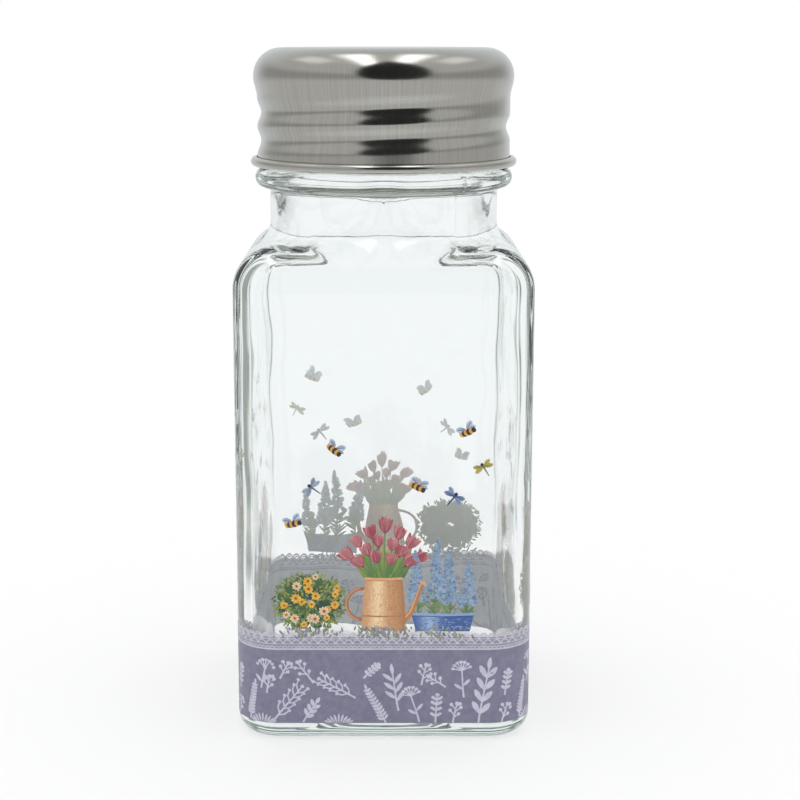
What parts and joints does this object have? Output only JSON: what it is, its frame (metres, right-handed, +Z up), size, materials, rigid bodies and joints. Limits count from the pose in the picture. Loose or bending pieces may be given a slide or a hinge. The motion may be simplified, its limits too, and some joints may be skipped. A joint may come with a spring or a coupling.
{
  "type": "spice jar",
  "caption": "Square clear glass spice jar with a threaded neck, a steel screw cap, a sealing disc, a sifter insert and a printed garden decoration.",
  "frame": {"origin": "centre of the jar's foot, on the surface that it stands on", "axes": "+Z up along the jar's and the cap's common axis, front face towards -Y"},
  "size_m": [0.0442, 0.0442, 0.1017],
  "materials": {
    "glass": "clear soda-lime glass, slightly green, fire-polished",
    "band_ink": "fired ceramic ink, lilac grey, satin",
    "lace_ink": "fired ceramic ink, off-white, satin",
    "picture_ink": "fired ceramic inks in garden colours, satin",
    "natural_plastic": "natural translucent polyethylene",
    "foam": "white foamed polyethylene sheet",
    "steel": "drawn stainless steel, finely scuffed along the skirt"
  },
  "bodies": {
    "jar": {"glass_jar": "glass", "print_band": "band_ink", "print_lace": "lace_ink", "print_pictures": "picture_ink"},
    "sifter": {"sifter_insert": "natural_plastic"},
    "disc": {"sealing_disc": "foam"},
    "cap": {"screw_cap": "steel"}
  },
  "joints": [
    {"name": "cap_rise", "type": "slide", "parent": "jar", "child": "disc", "axis": [0, 0, 1], "range_m": [0, 0.018]},
    {"name": "cap_turn", "type": "hinge", "parent": "disc", "child": "cap", "pos_m": [0, 0, 0.095], "axis": [0, 0, 1], "range_deg": [0, 1530]},
    {"name": "sifter_turn", "type": "hinge", "parent": "jar", "child": "sifter", "pos_m": [0, 0, 0.0993], "axis": [0, 0, 1], "continuous": true}
  ],
  "couplings": [
    {"joint": "cap_rise", "follows": "cap_turn", "m_per_rad": 0.00067322}
  ]
}
